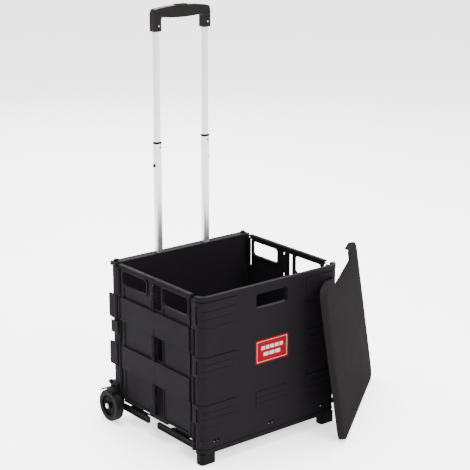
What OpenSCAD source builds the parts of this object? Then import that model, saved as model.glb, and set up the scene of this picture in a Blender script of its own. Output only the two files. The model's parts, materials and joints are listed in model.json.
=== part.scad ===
// Folding crate trolley: two-stage pull handle, folding side halves, lift-up floor, loose lid.
// Millimetres. X runs across the front, Y to the back, Z up. The ground is Z = 0.

/* [Box] */
// Half width over the side bands
half_w = 209; // [206:0.5:212]
// Front face of the front panel
front_y = -181; // [-184:0.5:-178]
// Rear edge of the back panel returns
back_y = 176; // [174:0.5:180]
// Height of the rim
rim_z = 411; // [405:1:420]
// Radius of the upright front corners
corner_r = 20; // [16:1:24]
// Thickness of the moulded walls
wall = 3; // [2.5:0.1:3.5]
// How far the pads stand out of the front
pad_proud = 1.6; // [0.8:0.1:1.7]

/* [Fold hinges] */
// Half distance between the corner hinge axes
corner_x = 204; // [203:0.1:205]
// Distance from a centre hinge to its corner hinge, along the side
half_len = 149; // [147:0.5:151]
// Y of the centre hinges
seam_y = 3; // [0:0.5:6]
// Half distance between the centre hinge axes
centre_x = 209.5; // [209.3:0.1:210]
// Radius of a corner hinge pin
pin_r = 2; // [1.8:0.1:2.2]
// Running clearance round every hinge pin
run = 0.05; // [0.02:0.01:0.1]

/* [Floor] */
// Half width of the lift-up floor
floor_w = 196.6; // [190:0.2:196.8]
// Upper face of the floor
floor_top = 60; // [59:0.1:61]

/* [Wheels] */
// Tyre radius
wheel_r = 40; // [38:0.5:41]
// Tyre width
wheel_w = 22; // [18:0.5:22]
// Axle radius
axle_r = 4; // [3.5:0.1:4]

/* [Handle] */
// Half distance between the tubes
tube_x = 73; // [70:0.5:76]
// Y of the tube centres
tube_y = 168.5; // [168:0.1:169]
// Height of the top of the lower tubes
lower_top = 688; // [680:1:696]
// Height of the grip at its centre
grip_top = 1016; // [1000:1:1030]

/* [Lid] */
// Lid length
lid_l = 438.9; // [430:0.5:440]
// Lid width
lid_h = 384; // [374:0.5:386]
// Depth of the lid skirt
lid_t = 17.4; // [15:0.2:20]
// Turn of the leaning lid about the upright
lid_turn = 37.15; // [36:0.05:38]
// Lean of the lid
lid_lean = 8.24; // [7:0.02:8.3]

/* [Hidden] */
$fn = 48;
e = 0.01;
wheel_y = 172;
floor_bot = floor_top - 12;
floor_ax_y = -170;
floor_ax_z = floor_top - 6;
ret_y = -158;
bands = [[145, 204], [268, 329]];
pads = [[97, 147.5], [216, 264.5], [338, 397]];
front_knuckles = [[99, 146], [215, 266], [331, 401]];
half_knuckles = [[62.5, 97.5], [147.5, 213.5], [267.5, 329.5]];
rear_seam = [[67, 90], [116, 142], [206, 226], [246, 266], [335, 355], [375, 395]];
front_seam = [[91, 115], [227, 245], [356, 374]];
body_c = [0.15, 0.14, 0.16];
dark_c = [0.08, 0.08, 0.09];
metal_c = [0.75, 0.75, 0.77];

// ---- helpers ----
module blk(x0, x1, y0, y1, z0, z1) translate([x0, y0, z0]) cube([x1 - x0, y1 - y0, z1 - z0]);
module rr(x0, x1, y0, y1, r) {
  translate([x0 + r, y0]) square([x1 - x0 - 2 * r, y1 - y0]);
  translate([x0, y0 + r]) square([x1 - x0, y1 - y0 - 2 * r]);
  for (x = [x0 + r, x1 - r], y = [y0 + r, y1 - r]) translate([x, y]) circle(r);
}
module xz(y0, y1) translate([0, y1, 0]) rotate([90, 0, 0]) linear_extrude(y1 - y0) children();
module yz(x0, x1) translate([x0, 0, 0]) rotate([90, 0, 90]) linear_extrude(x1 - x0) children();
module up(z0, z1) translate([0, 0, z0]) linear_extrude(z1 - z0) children();
module rod_z(x, y, z0, z1, r) translate([x, y, z0]) cylinder(h = z1 - z0, r = r);
module rod_x(x0, x1, y, z, r) translate([x0, y, z]) rotate([0, 90, 0]) cylinder(h = x1 - x0, r = r);
module rod_y(x, y0, y1, z, r) translate([x, y1, z]) rotate([90, 0, 0]) cylinder(h = y1 - y0, r = r);
module left() mirror([1, 0, 0]) children();
module both() { children(); mirror([1, 0, 0]) children(); }

// ---- front panel ----
module front_plan(o) rr(-half_w - o, half_w + o, front_y - o, 100, corner_r + o);
module front_ring(o1, o0, z0, z1) up(z0, z1) intersection() {
  difference() { front_plan(o1); front_plan(o0); }
  translate([-250, -250]) square([500, 250 + ret_y]);
}
module pad(z0, z1) difference() {
  intersection() {
    front_ring(pad_proud, -1, z0, z1);
    union() {
      xz(-260, -160) rr(105.6, 260, z0, z1, 5);
      yz(185, 260) rr(-230, ret_y, z0, z1, 2);
    }
  }
  for (t = [0.34, 0.66]) intersection() {
    front_ring(2, 0.6, z0 + t * (z1 - z0) - 0.6, z0 + t * (z1 - z0) + 0.6);
    blk(112, 204, -260, -100, z0, z1);
  }
}
module pad_groove(z0, z1) difference() {
  intersection() {
    front_ring(3, -0.8, z0 - 1.2, z1 + 1.2);
    xz(-260, -160) rr(104.4, 300, z0 - 1.2, z1 + 1.2, 6);
  }
  intersection() {
    front_ring(4, -2, z0 - 2, z1 + 2);
    xz(-261, -159) rr(105.6, 301, z0, z1, 5);
  }
}
module front_lugs(list) for (k = list) {
  rod_z(corner_x, seam_y - half_len, k[0], k[1], 4.5);
  blk(corner_x + 0.5, corner_x + 4.5, ret_y - 2, seam_y - half_len, k[0], k[1]);
}
module front_panel() color(body_c) difference() {
  union() {
    front_ring(0, -wall, 26, rim_z);
    front_ring(2.2, -8, rim_z - 9, rim_z);
    front_ring(1.5, -wall, 34.5, 37.5);
    front_ring(0, -14, 26, 29);
    both() for (p = pads) pad(p[0], p[1]);
    difference() {
      xz(front_y - pad_proud, front_y + 1) rr(-47, 47, 100, 143, 5);
      for (z = [114.5, 128.5]) blk(-48, 48, front_y - 2, front_y - 0.5, z - 0.5, z + 0.5);
    }
    xz(front_y, -169) rr(-53, 53, 346.5, 391.5, 9);
    both() {
      front_lugs(front_knuckles);
      blk(199, half_w - wall + 1, -177, -163, floor_bot, floor_top);
    }
  }
  both() for (p = pads) pad_groove(p[0], p[1]);
  xz(-190, -160) rr(-48, 48, 351, 387, 6);
  for (x = [-166, 0, 166]) difference() {
    blk(x - 9, x + 9, front_y - 1, front_y + wall + 1, 51.5, 59.5);
    blk(x - 1.5, x + 1.5, front_y - 2, front_y + wall + 2, 51, 60);
  }
  both() {
    rod_z(corner_x, seam_y - half_len, 50, 402, pin_r + run);
    rod_x(190, 206.5, floor_ax_y, floor_ax_z, 2.5);
    for (p = pads) blk(half_w - 1.5, half_w + 3, -167, -162, p[0] + 8, p[1] - 8);
  }
}
module front_feet() color(dark_c) both() difference() {
  up(0, 26) intersection() {
    rr(165, half_w - 1, front_y + 1, -155, 8);
    translate([100, -300]) square([300, 400]);
  }
  up(2.5, 24) rr(168, half_w - 4, front_y + 4, -158, 5);
}
module label() color([0.75, 0.08, 0.1]) xz(front_y - 0.9, front_y) rr(-50, 50, 213, 272, 3);
module label_mark() color([0.93, 0.93, 0.93]) xz(front_y - 1.3, front_y - 0.9) {
  difference() { rr(-46, 46, 217, 268, 2); rr(-45, 45, 218, 267, 1.5); }
  for (k = [0:4]) translate([-33 + 14 * k, 0]) rr(0, k == 4 ? 10 : 11, 246, 255, 1);
  for (k = [0:2]) translate([-26 + 18 * k, 0]) rr(0, 15, 230, 239, 1);
}
module front_hinge_pins() color(metal_c) both()
  rod_z(corner_x, seam_y - half_len, 62.6, 400, pin_r);
module floor_pins() color(metal_c) both() rod_x(176, 206, floor_ax_y, floor_ax_z, 2.5);

// ---- side halves, drawn for the right rear: s runs along the side from the seam ----
module half_at(front) translate([0, seam_y, 0]) mirror([0, front ? 1 : 0, 0]) children();
module hand_hole(o, front) yz(190, 220)
  rr(32 - o, 131 + o, (front ? 353 : 360) - o, 397 + o, 9 + o);
module side_half(front) color(body_c) half_at(front) difference() {
  union() {
    blk(201, 204, 0.3, 137, 61.5, rim_z);
    for (b = bands) difference() {
      yz(201, half_w) rr(0.3, 137, b[0], b[1], 3);
      yz(200, half_w - 2.5) rr(3.3, 134, b[0] + 3, b[1] - 3, 2);
    }
    for (b = bands) for (s = [46, 91]) blk(201, half_w - 1, s, s + 2, b[0] + 1, b[1] - 1);
    blk(199, 206.5, 0.3, 137, 61.5, 66);
    blk(199, 207, 0.3, 143, 401.5, 404.5);
    blk(199, half_w, 0.3, 143, 407, rim_z);
    blk(201, 204, 130, 143, 401.5, rim_z);
    intersection() { blk(199, 207, 20, 137, 345, 402); hand_hole(4, front); }
    blk(202, 206, 128, 137, 66, 402);
    blk(202, 206, front ? 30 : 13, front ? 33 : 16, 66, front ? 345 : 352);
    for (k = half_knuckles) {
      rod_z(corner_x, half_len, k[0], k[1], 4.5);
      blk(200, 204.5, 136, half_len, k[0], k[1]);
    }
    for (k = front ? front_seam : rear_seam) {
      rod_z(centre_x, 0, k[0], k[1], 3.5);
      blk(203, centre_x, 0.3, 3.5, k[0], k[1]);
    }
  }
  hand_hole(0, front);
  rod_z(corner_x, half_len, 50, 402, pin_r + run);
  for (z = [66, 206, 335]) rod_z(centre_x, 0, z - 1, z + 80, 1.5 + run);
  if (front) {
    for (w = [[70, 141], [208, 264], [334, 396]])
      yz(190, 205) rr(6.5, w[0] > 300 ? 24 : 28, w[0], w[1], 1.5);
  } else for (z = [70, 132, 208, 251, 333, 388]) blk(190, 205, 5.5, 11, z, z + 8);
}
// The ledge runs under the floor's edge and carries it.
module side_rail(front) color(dark_c) half_at(front) {
  difference() {
    yz(199, 205) rr(front ? 2 : 34, 148, 31, 47.4, 3);
    yz(203.5, 206) rr(front ? 6 : 38, 138, 35, 43.4, 2);
  }
  blk(190, 200, 50, 118, 44.4, 47.4);
  rod_z(corner_x, half_len, 30, 62.5, 5.2);
}
module centre_pins() color(metal_c) translate([0, seam_y, 0])
  for (z = [[67, 142], [206, 266], [335, 395]]) rod_z(centre_x, 0, z[0], z[1], 1.5);
module left_rear_panel() left() side_half(false);
module right_rear_panel() side_half(false);
module left_front_panel() left() side_half(true);
module right_front_panel() side_half(true);
module left_rear_rail() left() side_rail(false);
module right_rear_rail() side_rail(false);
module left_front_rail() left() side_rail(true);
module right_front_rail() side_rail(true);
module left_centre_pins() left() centre_pins();
module right_centre_pins() centre_pins();

// ---- back panel ----
module tube_hole(z0, z1, c) both() up(z0, z1)
  rr(tube_x - 9 - c, tube_x + 9 + c, tube_y - 7.25 - c, tube_y + 7.25 + c, 4);
module back_panel() color(body_c) difference() {
  union() {
    xz(158, 161) rr(-half_w, half_w, 61.5, rim_z, 4);
    blk(-half_w, half_w, 158, back_y + 6, rim_z - 9, rim_z);
    for (z = [66, 140, 206, 266, 331]) blk(-half_w, half_w, 160, 172, z, z + 2.5);
    both() {
      blk(half_w - 4, half_w, 160, back_y - 4, 61.5, rim_z);
      for (b = bands) {
        yz(half_w - 3, half_w + 1) rr(161, 190, b[0], b[1], 4);
        blk(150, half_w, 160, back_y - 6, b[0] + 29, b[0] + 31.5);
      }
      for (x = [20, 120, 165]) blk(x, x + 2.5, 160, 172, 66, rim_z - 8);
      for (k = front_knuckles) {
        rod_z(corner_x, seam_y + half_len, k[0], k[1], 4.5);
        blk(corner_x + 0.5, corner_x + 4.5, seam_y + half_len, 161, k[0], k[1]);
      }
      rod_z(198, 172, rim_z, rim_z + 5, 6);
    }
  }
  tube_hole(300, 420, 0.3);
  both() {
    blk(tube_x, tube_x + 12.4, tube_y - 5, tube_y + 5, 360, 420);
    rod_z(corner_x, seam_y + half_len, 50, 402, pin_r + run);
    blk(57, 91, 161, 185, 60, rim_z - 9);
  }
}
module guide() color(dark_c) difference() {
  union() {
    up(66, rim_z - 9) rr(60, 88.5, 161, 179, 3);
    for (z = [90, 240, 370]) blk(57, 91, 161, 163.5, z, z + 16);
  }
  up(60, 420) rr(tube_x - 9.3, tube_x + 9.3, 160.9, tube_y + 7.55, 3);
  blk(tube_x, tube_x + 12.4, tube_y - 5, tube_y + 5, 360, 420);
}
module tube_guide_right() guide();
module tube_guide_left() left() guide();
module rear_screws() color(metal_c) both() for (z = [98, 378]) for (x = [135, 150])
  rod_y(x, 161, 163, z, 4);
module housing() color(dark_c) difference() {
  union() {
    yz(199, 210.5) { rr(160, 190, 31, 61.5, 6); translate([160, 45]) square([32, 52]); }
    intersection() {
      rod_x(209.8, 234, wheel_y, 40, 46);
      blk(209.8, 234, 150, 203, 63, 90);
    }
    rod_x(208, 215, 189, 95, 5);
  }
  rod_x(211, 240, wheel_y, 40, 44);
  blk(190, half_w - 4 + e, 160 - e, 172, 61.5, 110);
  blk(half_w - 4 - e, 209, 160 - e, 172, 61.5, 110);
  rod_x(190, 240, wheel_y, 40, axle_r);
}
module wheel_housing_right() housing();
module wheel_housing_left() left() housing();
module axle() color(metal_c) rod_x(-235, 235, wheel_y, 40, axle_r);
module axle_caps() color(metal_c) both() difference() {
  union() {
    rod_x(233.6, 236.2, wheel_y, 40, 6);
    rod_x(236.2, 237.4, wheel_y, 40, 4.6);
  }
  rod_x(230, 235, wheel_y, 40, axle_r);
}
module side_clips() color(dark_c) both() {
  blk(209, 213, 162, 178, 232, 262);
  blk(210.6, 213, 150, 162 + e, 230, 264);
}
module rear_hinge_pins() color(metal_c) both()
  rod_z(corner_x, seam_y + half_len, 62.6, 400, pin_r);

// ---- wheels ----
module tyre() color(dark_c) translate([211.2, wheel_y, 40]) rotate([0, 90, 0])
  rotate_extrude($fn = 72) difference() {
    rr(30, wheel_r, 0, wheel_w, 3);
    for (t = [0.3, 0.7]) translate([wheel_r - 1, t * wheel_w - 0.6]) square([2, 1.2]);
    translate([34, wheel_w - 1]) square([1.2, 2]);
  }
module hub() color(dark_c) translate([211.2, wheel_y, 40]) rotate([0, 90, 0])
  rotate_extrude($fn = 72) {
    translate([axle_r + run, 0.3]) square([5, wheel_w - 0.5]);
    translate([axle_r + run, 13]) square([30 - axle_r - run, 3]);
    translate([26, 1.5]) square([4, wheel_w - 2.5]);
    translate([16, 13]) square([3, 5]);
  }
module tyre_right() tyre();
module hub_right() hub();
module tyre_left() left() tyre();
module hub_left() left() hub();

// ---- handle ----
module tube(w, d, t, z0, z1, r) up(z0, z1) difference() {
  rr(tube_x - w / 2, tube_x + w / 2, tube_y - d / 2, tube_y + d / 2, r);
  rr(tube_x - w / 2 + t, tube_x + w / 2 - t, tube_y - d / 2 + t, tube_y + d / 2 - t, r - t);
}
module lower_tube() color(metal_c) difference() {
  tube(18, 14.5, 1.2, 342, lower_top, 4);
  rod_x(tube_x + 5, tube_x + 12, tube_y, 632, 4.3);
}
module upper_tube() color(metal_c) tube(14.5, 11.3, 1.1, 628, 990, 3);
module collar() color(dark_c) difference() {
  up(685.5, 690) rr(tube_x - 9.8, tube_x + 9.8, tube_y - 8.05, tube_y + 8.05, 4.5);
  up(670, lower_top) rr(tube_x - 9, tube_x + 9, tube_y - 7.25, tube_y + 7.25, 4);
  up(680, 700) rr(tube_x - 7.6, tube_x + 7.6, tube_y - 6, tube_y + 6, 3.3);
}
module lower_tube_right() lower_tube();
module lower_tube_left() left() lower_tube();
module upper_tube_right() upper_tube();
module upper_tube_left() left() upper_tube();
module collar_right() collar();
module collar_left() left() collar();
module collar_rivets() color(dark_c) for (x = [-tube_x + 3, tube_x + 3])
  rod_y(x, tube_y - 8.1, tube_y - 7.25, 677, 2.2);
module lock_button_right() color(dark_c) rod_x(tube_x + 8.7, tube_x + 11.6, tube_y, 632, 4.2);
module lock_button_left() left() lock_button_right();
module grip_outline() difference() {
  intersection() {
    union() { translate([-84, 957]) square([168, 36]); rr(-84, 84, 957, grip_top, 20); }
    translate([0, grip_top - 507]) circle(507, $fn = 240);
  }
  difference() {
    union() { rr(-63, 63, 940, grip_top - 25, 7); translate([-63, 930]) square([126, 30]); }
    translate([0, grip_top - 29.5 + 495]) circle(495, $fn = 240);
  }
}
module grip() color(dark_c) difference() {
  intersection() {
    xz(tube_y - 9.5, tube_y + 9.5) grip_outline();
    yz(-90, 90) rr(tube_y - 9.5, tube_y + 9.5, 930, grip_top + 4, 9);
  }
  both() up(950, 990) rr(tube_x - 7.25, tube_x + 7.25, tube_y - 5.65, tube_y + 5.65, 3);
  blk(-17, 17, tube_y - 6, tube_y + 6, grip_top - 13, grip_top + 5);
}
module grip_screws() color(metal_c) for (x = [-tube_x + 2.5, tube_x + 2.5])
  rod_y(x, tube_y - 10, tube_y - 9.5, 970, 1.8);
module release_button() color(dark_c)
  xz(tube_y - 5.7, tube_y + 5.7) rr(-16.5, 16.5, grip_top - 9, grip_top + 2, 2);

// ---- floor ----
module floor_panel() color(body_c) difference() {
  union() {
    rod_x(-floor_w, floor_w, floor_ax_y, floor_ax_z, 6);
    difference() {
      up(floor_bot, floor_top) rr(-floor_w, floor_w, floor_ax_y, 150, 0.5);
      for (x = [-194, -96, 2, 100], y = [-161, -82, -3, 76])
        blk(x, x + 94, y, y + 71, floor_bot - 1, floor_top - wall);
    }
    blk(-66, 66, 113, 123, floor_bot, floor_top);
    both() for (y = [-65, 41]) blk(170, floor_w, y, y + 40, floor_bot, floor_top);
  }
  up(floor_bot - 1, floor_top + 1) rr(-60, 60, 120, 190, 12);
  both() {
    blk(192, 210, -180, -163, floor_bot - 1, floor_top + 1);
    rod_x(175, 201, floor_ax_y, floor_ax_z, 2.5 + run);
    for (y = [-62, 44]) up(floor_bot - 1, floor_top + 1) rr(174, 210, y, y + 34, 3);
  }
}

// ---- lid ----
module lid_outline(o) rr(o, lid_l - o, o, lid_h - o, 26 - o);
module lid() color(body_c) translate([136.1, -297.5, 2.6]) rotate([0, 0, lid_turn])
  rotate([-lid_lean, 0, 0]) difference() {
    union() {
      xz(0, 2.6) lid_outline(1.5);
      xz(1, 2.6) lid_outline(0.4);
      difference() { xz(2.2, lid_t) lid_outline(0); xz(2.6, 20) lid_outline(2.6); }
      for (x = [70, 219, 368]) blk(x, x + 2, 2, 8, 2, 300);
      for (z = [75, 190, 298]) blk(2, lid_l - 2, 2, 8, z, z + 2);
    }
    blk(88, lid_l - 88, 2.6, 20, lid_h - 50, lid_h + 1);
    xz(-1, 20) rr(113.5, lid_l - 113.5, lid_h - 22, lid_h + 30, 7);
  }

back_panel();
tube_guide_left();
tube_guide_right();
wheel_housing_left();
wheel_housing_right();
axle();
axle_caps();
side_clips();
rear_screws();
rear_hinge_pins();
tyre_left();
hub_left();
tyre_right();
hub_right();
lower_tube_left();
lower_tube_right();
collar_left();
collar_right();
collar_rivets();
upper_tube_left();
upper_tube_right();
grip();
grip_screws();
release_button();
lock_button_left();
lock_button_right();
left_rear_panel();
left_rear_rail();
left_centre_pins();
right_rear_panel();
right_rear_rail();
right_centre_pins();
left_front_panel();
left_front_rail();
right_front_panel();
right_front_rail();
front_panel();
front_feet();
label();
label_mark();
front_hinge_pins();
floor_pins();
floor_panel();
lid();
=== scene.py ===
import json
import math

import bpy
from mathutils import Matrix, Vector


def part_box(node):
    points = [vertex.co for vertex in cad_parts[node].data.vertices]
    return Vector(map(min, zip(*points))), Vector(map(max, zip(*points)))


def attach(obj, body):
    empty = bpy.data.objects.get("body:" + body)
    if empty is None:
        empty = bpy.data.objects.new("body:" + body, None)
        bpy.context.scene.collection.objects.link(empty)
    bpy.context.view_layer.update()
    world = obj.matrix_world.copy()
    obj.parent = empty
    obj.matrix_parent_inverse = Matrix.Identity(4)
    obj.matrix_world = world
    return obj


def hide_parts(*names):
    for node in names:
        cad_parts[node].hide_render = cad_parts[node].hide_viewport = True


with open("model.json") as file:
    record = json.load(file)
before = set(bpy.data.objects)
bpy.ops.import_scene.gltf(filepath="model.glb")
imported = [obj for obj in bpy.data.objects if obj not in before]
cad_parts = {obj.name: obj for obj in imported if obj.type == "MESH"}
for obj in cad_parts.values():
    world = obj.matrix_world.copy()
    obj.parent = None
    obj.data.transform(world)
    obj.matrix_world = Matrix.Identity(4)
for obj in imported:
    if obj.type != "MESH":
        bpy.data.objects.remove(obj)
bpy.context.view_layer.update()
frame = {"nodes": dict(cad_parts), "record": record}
nodes = frame["nodes"]
slots = {part["node"]: part["material_slot"] for part in frame["record"]["subparts"]}
scene = bpy.context.scene


# ---- camera, matched to the photograph's view ----
CAMERA_PLACE = Vector((-1.9488, -2.4639, 1.4026))
CAMERA_YAW, CAMERA_PITCH, CAMERA_ROLL = 38.822, 16.3686, 0.11   # degrees
CAMERA_LENS, CAMERA_SENSOR = 104.15, 36.0                       # millimetres


def make_camera():
    yaw, pitch, roll = (math.radians(a) for a in (CAMERA_YAW, CAMERA_PITCH, CAMERA_ROLL))
    forward = Vector((math.sin(yaw) * math.cos(pitch), math.cos(yaw) * math.cos(pitch), -math.sin(pitch)))
    level = Vector((math.cos(yaw), -math.sin(yaw), 0.0))
    upright = level.cross(forward)
    right = math.cos(roll) * level + math.sin(roll) * upright
    up = -math.sin(roll) * level + math.cos(roll) * upright
    data = bpy.data.cameras.new("camera")
    data.sensor_width = CAMERA_SENSOR
    data.lens = CAMERA_LENS
    data.clip_start = 0.05
    data.clip_end = 60.0
    camera = bpy.data.objects.new("camera", data)
    scene.collection.objects.link(camera)
    turned = Matrix((right, up, -forward)).transposed().to_4x4()
    turned.translation = CAMERA_PLACE
    camera.matrix_world = turned
    scene.camera = camera


make_camera()


# ---- material building ----
class Mat:
    """A principled material with helpers for procedural detail in object space, in metres."""

    def __init__(self, name):
        self.m = bpy.data.materials.new(name)
        self.m.use_nodes = True
        self.t = self.m.node_tree
        self.p = self.t.nodes["Principled BSDF"]
        self.co = self.t.nodes.new("ShaderNodeTexCoord").outputs["Object"]

    def new(self, kind, **props):
        n = self.t.nodes.new(kind)
        for k, v in props.items():
            setattr(n, k, v)
        return n

    def link(self, a, b):
        self.t.links.new(a, b)

    def space(self, scale):
        n = self.new("ShaderNodeMapping")
        n.inputs["Scale"].default_value = scale
        self.link(self.co, n.inputs["Vector"])
        return n.outputs["Vector"]

    def noise(self, scale, detail=3.0, rough=0.5, vector=None):
        n = self.new("ShaderNodeTexNoise")
        n.inputs["Scale"].default_value = scale
        n.inputs["Detail"].default_value = detail
        n.inputs["Roughness"].default_value = rough
        self.link(vector or self.co, n.inputs["Vector"])
        return n.outputs["Fac"]

    def ramp(self, fac, lo, hi, a, b):
        n = self.new("ShaderNodeMapRange")
        n.inputs["From Min"].default_value = lo
        n.inputs["From Max"].default_value = hi
        n.inputs["To Min"].default_value = a
        n.inputs["To Max"].default_value = b
        self.link(fac, n.inputs["Value"])
        return n.outputs["Result"]

    def mix(self, fac, a, b):
        n = self.new("ShaderNodeMix", data_type="RGBA")
        self.link(fac, n.inputs[0])
        for socket, value in ((n.inputs[6], a), (n.inputs[7], b)):
            if isinstance(value, tuple):
                socket.default_value = (*value, 1.0)
            else:
                self.link(value, socket)
        return n.outputs[2]

    def math(self, op, a, b):
        n = self.new("ShaderNodeMath", operation=op)
        for socket, value in ((n.inputs[0], a), (n.inputs[1], b)):
            if isinstance(value, (int, float)):
                socket.default_value = value
            else:
                self.link(value, socket)
        return n.outputs[0]

    def edge(self, radius):
        """Rounded-edge normal, and a mask that is 1 along the edges."""
        b = self.new("ShaderNodeBevel", samples=4)
        b.inputs["Radius"].default_value = radius
        g = self.new("ShaderNodeNewGeometry")
        d = self.new("ShaderNodeVectorMath", operation="DOT_PRODUCT")
        self.link(b.outputs["Normal"], d.inputs[0])
        self.link(g.outputs["Normal"], d.inputs[1])
        return b.outputs["Normal"], self.ramp(d.outputs["Value"], 0.995, 0.8, 0.0, 1.0)

    def bump(self, height, strength, distance, normal=None):
        n = self.new("ShaderNodeBump")
        n.inputs["Strength"].default_value = strength
        n.inputs["Distance"].default_value = distance
        self.link(height, n.inputs["Height"])
        if normal is not None:
            self.link(normal, n.inputs["Normal"])
        return n.outputs["Normal"]

    def out(self, **sockets):
        for k, v in sockets.items():
            s = self.p.inputs[k.replace("_", " ")]
            if isinstance(v, tuple):
                s.default_value = (*v, 1.0)
            elif isinstance(v, (int, float)):
                s.default_value = v
            else:
                self.link(v, s)
        return self.m


def plastic(name, base, pale_wear_and_highlight, rough, grain, depth, edge_radius=0.0009, gloss=0.035):
    """Moulded plastic: fine grain, slow changes of tone and sheen, scuffs, and paler rounded edges, partly
    edge wear and partly a painted highlight.
    """
    k = Mat(name)
    normal, edges = k.edge(edge_radius)
    fine = k.noise(grain, 2.0, 0.6)
    cloudy = k.noise(9.0, 4.0, 0.6)
    scuff = k.noise(1.0, 5.0, 0.7, k.space((60.0, 60.0, 14.0)))
    # paler patches along the edges: partly edge wear, partly a painted highlight
    edge_wear_and_highlight = k.math("MULTIPLY", edges, k.ramp(k.noise(45.0, 3.0), 0.35, 0.7, 0.15, 0.8))
    marks = k.ramp(scuff, 0.6, 0.8, 0.0, 0.35)
    dark = tuple(c * 0.82 for c in base)
    colour = k.mix(k.ramp(cloudy, 0.35, 0.65, 0.0, 1.0), dark, base)
    colour = k.mix(k.ramp(fine, 0.3, 0.7, 0.0, 0.5), colour, pale_wear_and_highlight)
    colour = k.mix(k.math("MAXIMUM", edge_wear_and_highlight, marks), colour, pale_wear_and_highlight)
    sheen = k.ramp(cloudy, 0.3, 0.7, *rough)
    sheen = k.math("ADD", sheen, k.ramp(fine, 0.3, 0.7, -0.03, 0.05))
    return k.out(Base_Color=colour, Roughness=sheen, Specular_IOR_Level=gloss,
                 Normal=k.bump(fine, 0.35, depth, normal))


def metal(name, base, rough, streak, lines):
    """Drawn or plated metal, with fine lines along the axis where streak is smallest."""
    k = Mat(name)
    normal = k.edge(0.0006)[0]
    drawn = k.noise(1.0, 4.0, 0.6, k.space(streak))
    spots = k.noise(70.0, 4.0, 0.6)
    dark = tuple(c * 0.78 for c in base)
    spotted = tuple(c * 0.6 for c in base)
    colour = k.mix(k.ramp(drawn, 0.3, 0.7, 0.0, 1.0), dark, base)
    colour = k.mix(k.ramp(spots, 0.62, 0.75, 0.0, 0.25), colour, spotted)
    sheen = k.ramp(drawn, 0.25, 0.75, rough - 0.06, rough + 0.08)
    sheen = k.math("ADD", sheen, k.ramp(spots, 0.3, 0.7, -0.03, 0.05))
    return k.out(Base_Color=colour, Roughness=sheen, Metallic=1.0,
                 Normal=k.bump(drawn, lines, 0.0002, normal))


def tyre_rubber():
    """Matte rubber with dust on the faces and paler edges."""
    k = Mat("tyre_rubber")
    normal, edges = k.edge(0.0012)
    fine = k.noise(1500.0, 2.0)
    dust = k.noise(50.0, 5.0, 0.65)
    colour = k.mix(k.ramp(dust, 0.4, 0.7, 0.0, 1.0), (0.004, 0.004, 0.0045), (0.011, 0.0105, 0.01))
    # paler along every edge
    colour = k.mix(k.math("MULTIPLY", edges, 0.35), colour, (0.022, 0.021, 0.02))
    return k.out(Base_Color=colour, Roughness=k.ramp(dust, 0.3, 0.7, 0.55, 0.8),
                 Specular_IOR_Level=0.07, Normal=k.bump(fine, 0.4, 0.0002, normal))


def printed(name, base, other, rough):
    """Printed film: mottled ink over a fine fibre."""
    k = Mat(name)
    normal, edges = k.edge(0.0005)
    mottled = k.noise(120.0, 4.0, 0.6)
    fibre = k.noise(1.0, 3.0, 0.6, k.space((900.0, 900.0, 140.0)))
    colour = k.mix(k.ramp(mottled, 0.35, 0.7, 0.0, 1.0), base, other)
    colour = k.mix(k.math("MULTIPLY", edges, 0.5), colour, tuple(c * 0.6 for c in base))
    return k.out(Base_Color=colour, Roughness=k.ramp(fibre, 0.3, 0.7, rough - 0.05, rough + 0.1),
                 Specular_IOR_Level=0.04, Normal=k.bump(fibre, 0.15, 0.0001, normal))


# The pale colours below serve the grain, the scuffs and the paler edges, which are partly wear and partly
# a painted highlight.
crate = plastic("crate_plastic", base=(0.0042, 0.0035, 0.0044), pale_wear_and_highlight=(0.0082, 0.0071, 0.0085),
                rough=(0.6, 0.72), grain=1500.0, depth=0.00025)
# The lid is the crate's dark plastic with its gloss turned almost off; its base and pale tones are set
# lighter than the crate's, a painted sheen in place of the reflection.
lid_plastic_painted_sheen = plastic("lid_plastic_painted_sheen", base=(0.007, 0.0063, 0.0068), pale_wear_and_highlight=(0.0142, 0.013, 0.0138),
                      rough=(0.7, 0.84), grain=1300.0, depth=0.00025, edge_radius=0.002, gloss=0.002)
fitting = plastic("fitting_plastic", base=(0.002, 0.0019, 0.0021), pale_wear_and_highlight=(0.006, 0.0057, 0.006),
                  rough=(0.52, 0.66), grain=1900.0, depth=0.00018)
grip = plastic("grip_plastic", base=(0.0044, 0.0034, 0.0034), pale_wear_and_highlight=(0.0095, 0.008, 0.008),
               rough=(0.46, 0.56), grain=2300.0, depth=0.0002, edge_radius=0.003, gloss=0.055)
aluminium = metal("satin_aluminium", (0.62, 0.625, 0.635), 0.3, (2400.0, 2400.0, 5.0), 0.25)
steel = metal("zinc_steel", (0.6, 0.6, 0.6), 0.27, (40.0, 900.0, 900.0), 0.15)
rubber = tyre_rubber()
label_red = printed("label_red", (0.125, 0.0, 0.0022), (0.145, 0.0, 0.003), 0.6)
label_print = printed("label_print", (0.3, 0.295, 0.29), (0.26, 0.255, 0.25), 0.5)

LOOK = {"steel": steel, "tube": aluminium, "tyre": rubber, "label": label_red,
        "label_mark": label_print, "grip": grip, "fittings": fitting, "crate": crate}
for name, ob in nodes.items():
    ob.data.materials.clear()
    ob.data.materials.append(lid_plastic_painted_sheen if name == "lid" else LOOK[slots[name]])


# ---- detailed pieces ----
MM = 0.001


def mesh_piece(name, verts, faces, mat, body):
    me = bpy.data.meshes.new(name)
    me.from_pydata(verts, [], faces)
    me.validate()
    me.polygons.foreach_set("use_smooth", [True] * len(me.polygons))
    me.materials.append(mat)
    ob = bpy.data.objects.new(name, me)
    scene.collection.objects.link(ob)
    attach(ob, body)
    return ob


def arc(cx, cz, r, start, end, steps):
    """Points along an arc, with its angles in degrees."""
    angles = [math.radians(start + (end - start) * i / steps) for i in range(steps + 1)]
    return [(cx + r * math.cos(a), cz + r * math.sin(a)) for a in angles]


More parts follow.
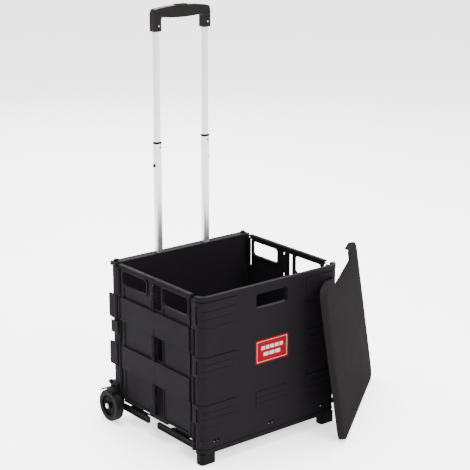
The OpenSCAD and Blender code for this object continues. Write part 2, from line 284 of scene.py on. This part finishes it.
# The lid in millimetres, in its own plane: x along its length, z up its width, y into the skirt
LID_LENGTH, LID_WIDTH = 438.9, 384.0
LID_DEPTH = 17.4          # how deep the skirt is
LID_WALL = 2.6
LID_CORNER_R = 26.0
LID_EDGE_R = 4.2          # roll of the outer edge
NOTCH_START, NOTCH_DEPTH = 113.5, 22.0
NOTCH_OUTER_R, NOTCH_INNER_R = 5.0, 7.0
SKIRT_GAP_START, SKIRT_GAP_SLOPE = 84.0, 4.0    # from each end of the top edge
SKIRT_GAP_REACH = 44.0    # how far below the top edge the gap can reach
SKIRT_CHAMFER = 0.5
RIB_TOP, RIB_WIDTH, RIB_CHAMFER = 8.0, 2.0, 0.5
RIB_COLUMNS, RIB_ROWS = (70, 219, 368), (75, 190, 298)
RIB_START, RIB_COLUMN_END = 3, 300
LID_LEAN = 8.24           # degrees from the upright
LID_PLACE = Vector((0.1361, -0.2975, 0.0026))   # its lower left corner, in metres
OUTLINE_STEP = 12         # rough length of the steps along the straight edges


def lid_outline():
    """The lid's edge seen from outside, counter-clockwise, with the notch at the top."""
    r, top, right = LID_CORNER_R, LID_WIDTH, LID_LENGTH
    end = right - NOTCH_START
    o, n = NOTCH_OUTER_R, NOTCH_INNER_R
    floor = top - NOTCH_DEPTH
    pts = arc(r, r, r, 180, 270, 10) + arc(right - r, r, r, 270, 360, 10)
    pts += arc(right - r, top - r, r, 0, 90, 10)
    pts += arc(end + o, top - o, o, 90, 180, 5)
    pts += arc(end - n, floor + n, n, 0, -90, 6)
    pts += arc(NOTCH_START + n, floor + n, n, 270, 180, 6)
    pts += arc(NOTCH_START - o, top - o, o, 0, 90, 5)
    pts += arc(r, top - r, r, 90, 180, 10)
    out = []
    for a, b in zip(pts, pts[1:] + pts[:1]):
        steps = max(1, int(math.dist(a, b) // OUTLINE_STEP))
        out += [(a[0] + (b[0] - a[0]) * k / steps, a[1] + (b[1] - a[1]) * k / steps) for k in range(steps)]
    return [p for i, p in enumerate(out) if math.dist(p, out[i - 1]) > 0.01]


def outward(pts):
    """The outward unit normal at each point of a counter-clockwise outline."""
    out = []
    for a, b in zip(pts[-1:] + pts[:-1], pts[1:] + pts[:1]):
        d = math.dist(a, b)
        out.append(((b[1] - a[1]) / d, -(b[0] - a[0]) / d))
    return out


def skirt_depth(x, z):
    """How deep the skirt is at a point of the outline; it drops away along the middle of the top."""
    if z < LID_WIDTH - SKIRT_GAP_REACH:
        return LID_DEPTH
    inside = min(x, LID_LENGTH - x) - SKIRT_GAP_START
    share = min(max(inside / SKIRT_GAP_SLOPE, 0.0), 1.0)
    return LID_DEPTH - share * (LID_DEPTH - LID_EDGE_R - 0.02)


def lid_rings(pts):
    """Rings of (inset, depth) that sweep the lid's section round its outline, outer face first."""
    r = LID_EDGE_R
    rings = []
    for k in range(7):
        a = math.radians(90.0 * k / 6)
        rings.append([(r - r * math.sin(a), r - r * math.cos(a))] * len(pts))
    deep = [skirt_depth(x, z) for x, z in pts]
    c = SKIRT_CHAMFER
    rings.append([(0.0, max(d - c, r + 0.01)) for d in deep])
    rings.append([(c, d) for d in deep])
    rings.append([(LID_WALL - c, d) for d in deep])
    rings.append([(LID_WALL, max(d - c, r + 0.005)) for d in deep])
    rings.append([(LID_WALL + 0.1, LID_WALL + 0.3)] * len(pts))
    rings.append([(LID_WALL + 0.8, LID_WALL)] * len(pts))
    return rings


def add_rib(verts, faces, x0, x1, z0, z1):
    """A closed rib with a chamfered top, rooted a little inside the lid's plate."""
    base = len(verts)
    for y, t in ((LID_WALL - 0.2, 0.0), (RIB_TOP - RIB_CHAMFER, 0.0), (RIB_TOP, RIB_CHAMFER)):
        verts += [Vector(c) for c in ((x0 + t, y, z0 + t), (x1 - t, y, z0 + t),
                                      (x1 - t, y, z1 - t), (x0 + t, y, z1 - t))]
    faces.append((base, base + 1, base + 2, base + 3))
    for k in (base, base + 4):
        faces += [(k + i, k + 4 + i, k + 4 + (i + 1) % 4, k + (i + 1) % 4) for i in range(4)]
    faces.append((base + 11, base + 10, base + 9, base + 8))


def make_lid():
    pts = lid_outline()
    n = len(pts)
    rings = lid_rings(pts)
    verts, faces = [], []
    for ring in rings:
        for (x, z), (nx, nz), (inset, y) in zip(pts, outward(pts), ring):
            verts.append(Vector((x - nx * inset, y, z - nz * inset)))
    for k in range(0, (len(rings) - 1) * n, n):
        faces += [(k + i, k + n + i, k + n + (i + 1) % n, k + (i + 1) % n) for i in range(n)]
    faces.append(tuple(range(n)))
    faces.append(tuple(reversed(range(len(verts) - n, len(verts)))))
    for x in RIB_COLUMNS:
        add_rib(verts, faces, x, x + RIB_WIDTH, RIB_START, RIB_COLUMN_END)
    for z in RIB_ROWS:
        add_rib(verts, faces, RIB_START, LID_LENGTH - RIB_START, z, z + RIB_WIDTH)
    # the lid's slide leans out square to the lid's long edge, so its axis gives the lid's turn
    axis = [j["axis"] for j in frame["record"]["behaviour"]["joints"] if j["name"] == "lid_lift"][0]
    turn = Matrix.Rotation(math.atan2(axis[0], -axis[1]), 4, "Z")
    lean = Matrix.Rotation(math.radians(-LID_LEAN), 4, "X")
    placed = Matrix.Translation(LID_PLACE) @ turn @ lean @ Matrix.Scale(MM, 4)
    ob = mesh_piece("lid_shell", [placed @ v for v in verts], faces, lid_plastic_painted_sheen, "lid")
    crisp = ob.modifiers.new("crisp", "EDGE_SPLIT")
    crisp.split_angle = math.radians(40)
    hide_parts("lid")


# A screw head's shape, as shares of its radius or its height
HEAD_CROWN, HEAD_RIM, HEAD_RIM_START, HEAD_RIM_SLOPE = 0.25, 0.78, 0.93, 8
CROSS_ARM, CROSS_REACH, CROSS_DEPTH, CROSS_CENTRE = 0.13, 0.58, 0.5, 0.45


def screw_head(verts, faces, centre, out, radius, height):
    """A pan head with a cross recess, facing along Y, as a polar grid closed at its back."""
    rings, seg = 16, 48
    base = len(verts)
    verts.append(centre + Vector((0, out * height * CROSS_CENTRE, 0)))
    for k in range(1, rings + 1):
        q = k / rings
        for i in range(seg):
            a = 2 * math.pi * i / seg
            x, z = q * math.cos(a), q * math.sin(a)
            dome = 1 - HEAD_CROWN * q * q
            if q >= HEAD_RIM_START:
                dome = HEAD_RIM - (q - HEAD_RIM_START) * HEAD_RIM_SLOPE
            if min(abs(x), abs(z)) < CROSS_ARM and max(abs(x), abs(z)) < CROSS_REACH:
                dome -= CROSS_DEPTH
            verts.append(centre + Vector((x * radius, out * height * max(dome, 0.0), z * radius)))
    grid = []
    for i in range(seg):
        j = (i + 1) % seg
        grid.append((base, base + 1 + i, base + 1 + j))
        for a in range(base + 1, base + 1 + (rings - 1) * seg, seg):
            grid.append((a + i, a + seg + i, a + seg + j, a + j))
    last = base + 1 + (rings - 1) * seg
    grid.append(tuple(reversed(range(last, last + seg))))
    faces += grid if out < 0 else [f[::-1] for f in grid]


def make_screws(node, body, columns, out, radius, height):
    """Screws at the columns, measured from each side edge of the node's box, in one row or two."""
    lo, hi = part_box(node)
    y = hi.y if out < 0 else lo.y
    one_row = hi.z - lo.z < 3 * radius
    rows = [(lo.z + hi.z) / 2] if one_row else [lo.z + radius, hi.z - radius]
    verts, faces = [], []
    for c in columns:
        for x in (lo.x + c, hi.x - c):
            for z in rows:
                screw_head(verts, faces, Vector((x, y, z)), out, radius, height)
    ob = mesh_piece(node + "_crossed", verts, faces, steel, body)
    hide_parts(node)


make_lid()
make_screws("grip_screws", "handle_upper", (0.0018,), -1, 0.0018, 0.001)
make_screws("rear_screws", "back", (0.004, 0.019), 1, 0.004, 0.0022)


# ---- floor and studio light ----
def make_floor():
    k = Mat("studio_floor")
    n = k.noise(2.0, 3.0)
    colour = k.mix(k.ramp(n, 0.3, 0.7, 0.0, 1.0), (0.9, 0.9, 0.9), (0.93, 0.93, 0.93))
    pale = k.out(Base_Color=colour, Roughness=0.7, Specular_IOR_Level=0.2,
                 Emission_Color=(1.0, 1.0, 1.0), Emission_Strength=1.2)
    bpy.ops.mesh.primitive_plane_add(size=30.0, location=(0, 0, -0.0005))
    floor = bpy.context.object
    floor.name = "floor"
    floor.data.materials.append(pale)


def soft_light(name, place, aim, size, power):
    """A round area light, in metres and watts."""
    data = bpy.data.lights.new(name, "AREA")
    data.shape = "DISK"
    data.size = size
    data.energy = power
    lamp = bpy.data.objects.new(name, data)
    scene.collection.objects.link(lamp)
    lamp.location = place
    lamp.rotation_euler = (Vector(aim) - Vector(place)).to_track_quat("-Z", "Y").to_euler()


def make_world(strength):
    world = bpy.data.worlds.new("studio")
    scene.world = world
    world.use_nodes = True
    background = world.node_tree.nodes["Background"]
    background.inputs["Color"].default_value = (1.0, 1.0, 1.0, 1.0)
    background.inputs["Strength"].default_value = strength


make_floor()
soft_light("key", (0.5, -3.3, 2.4), (0, 0, 0.3), 1.8, 150)
soft_light("back", (1.4, 3.2, 2.2), (0, 0, 0.3), 1.8, 110)
soft_light("top", (0.2, 0.4, 3.6), (0, 0, 0.2), 3.2, 480)
make_world(2.0)

# ---- final view layer update ----
bpy.context.view_layer.update()
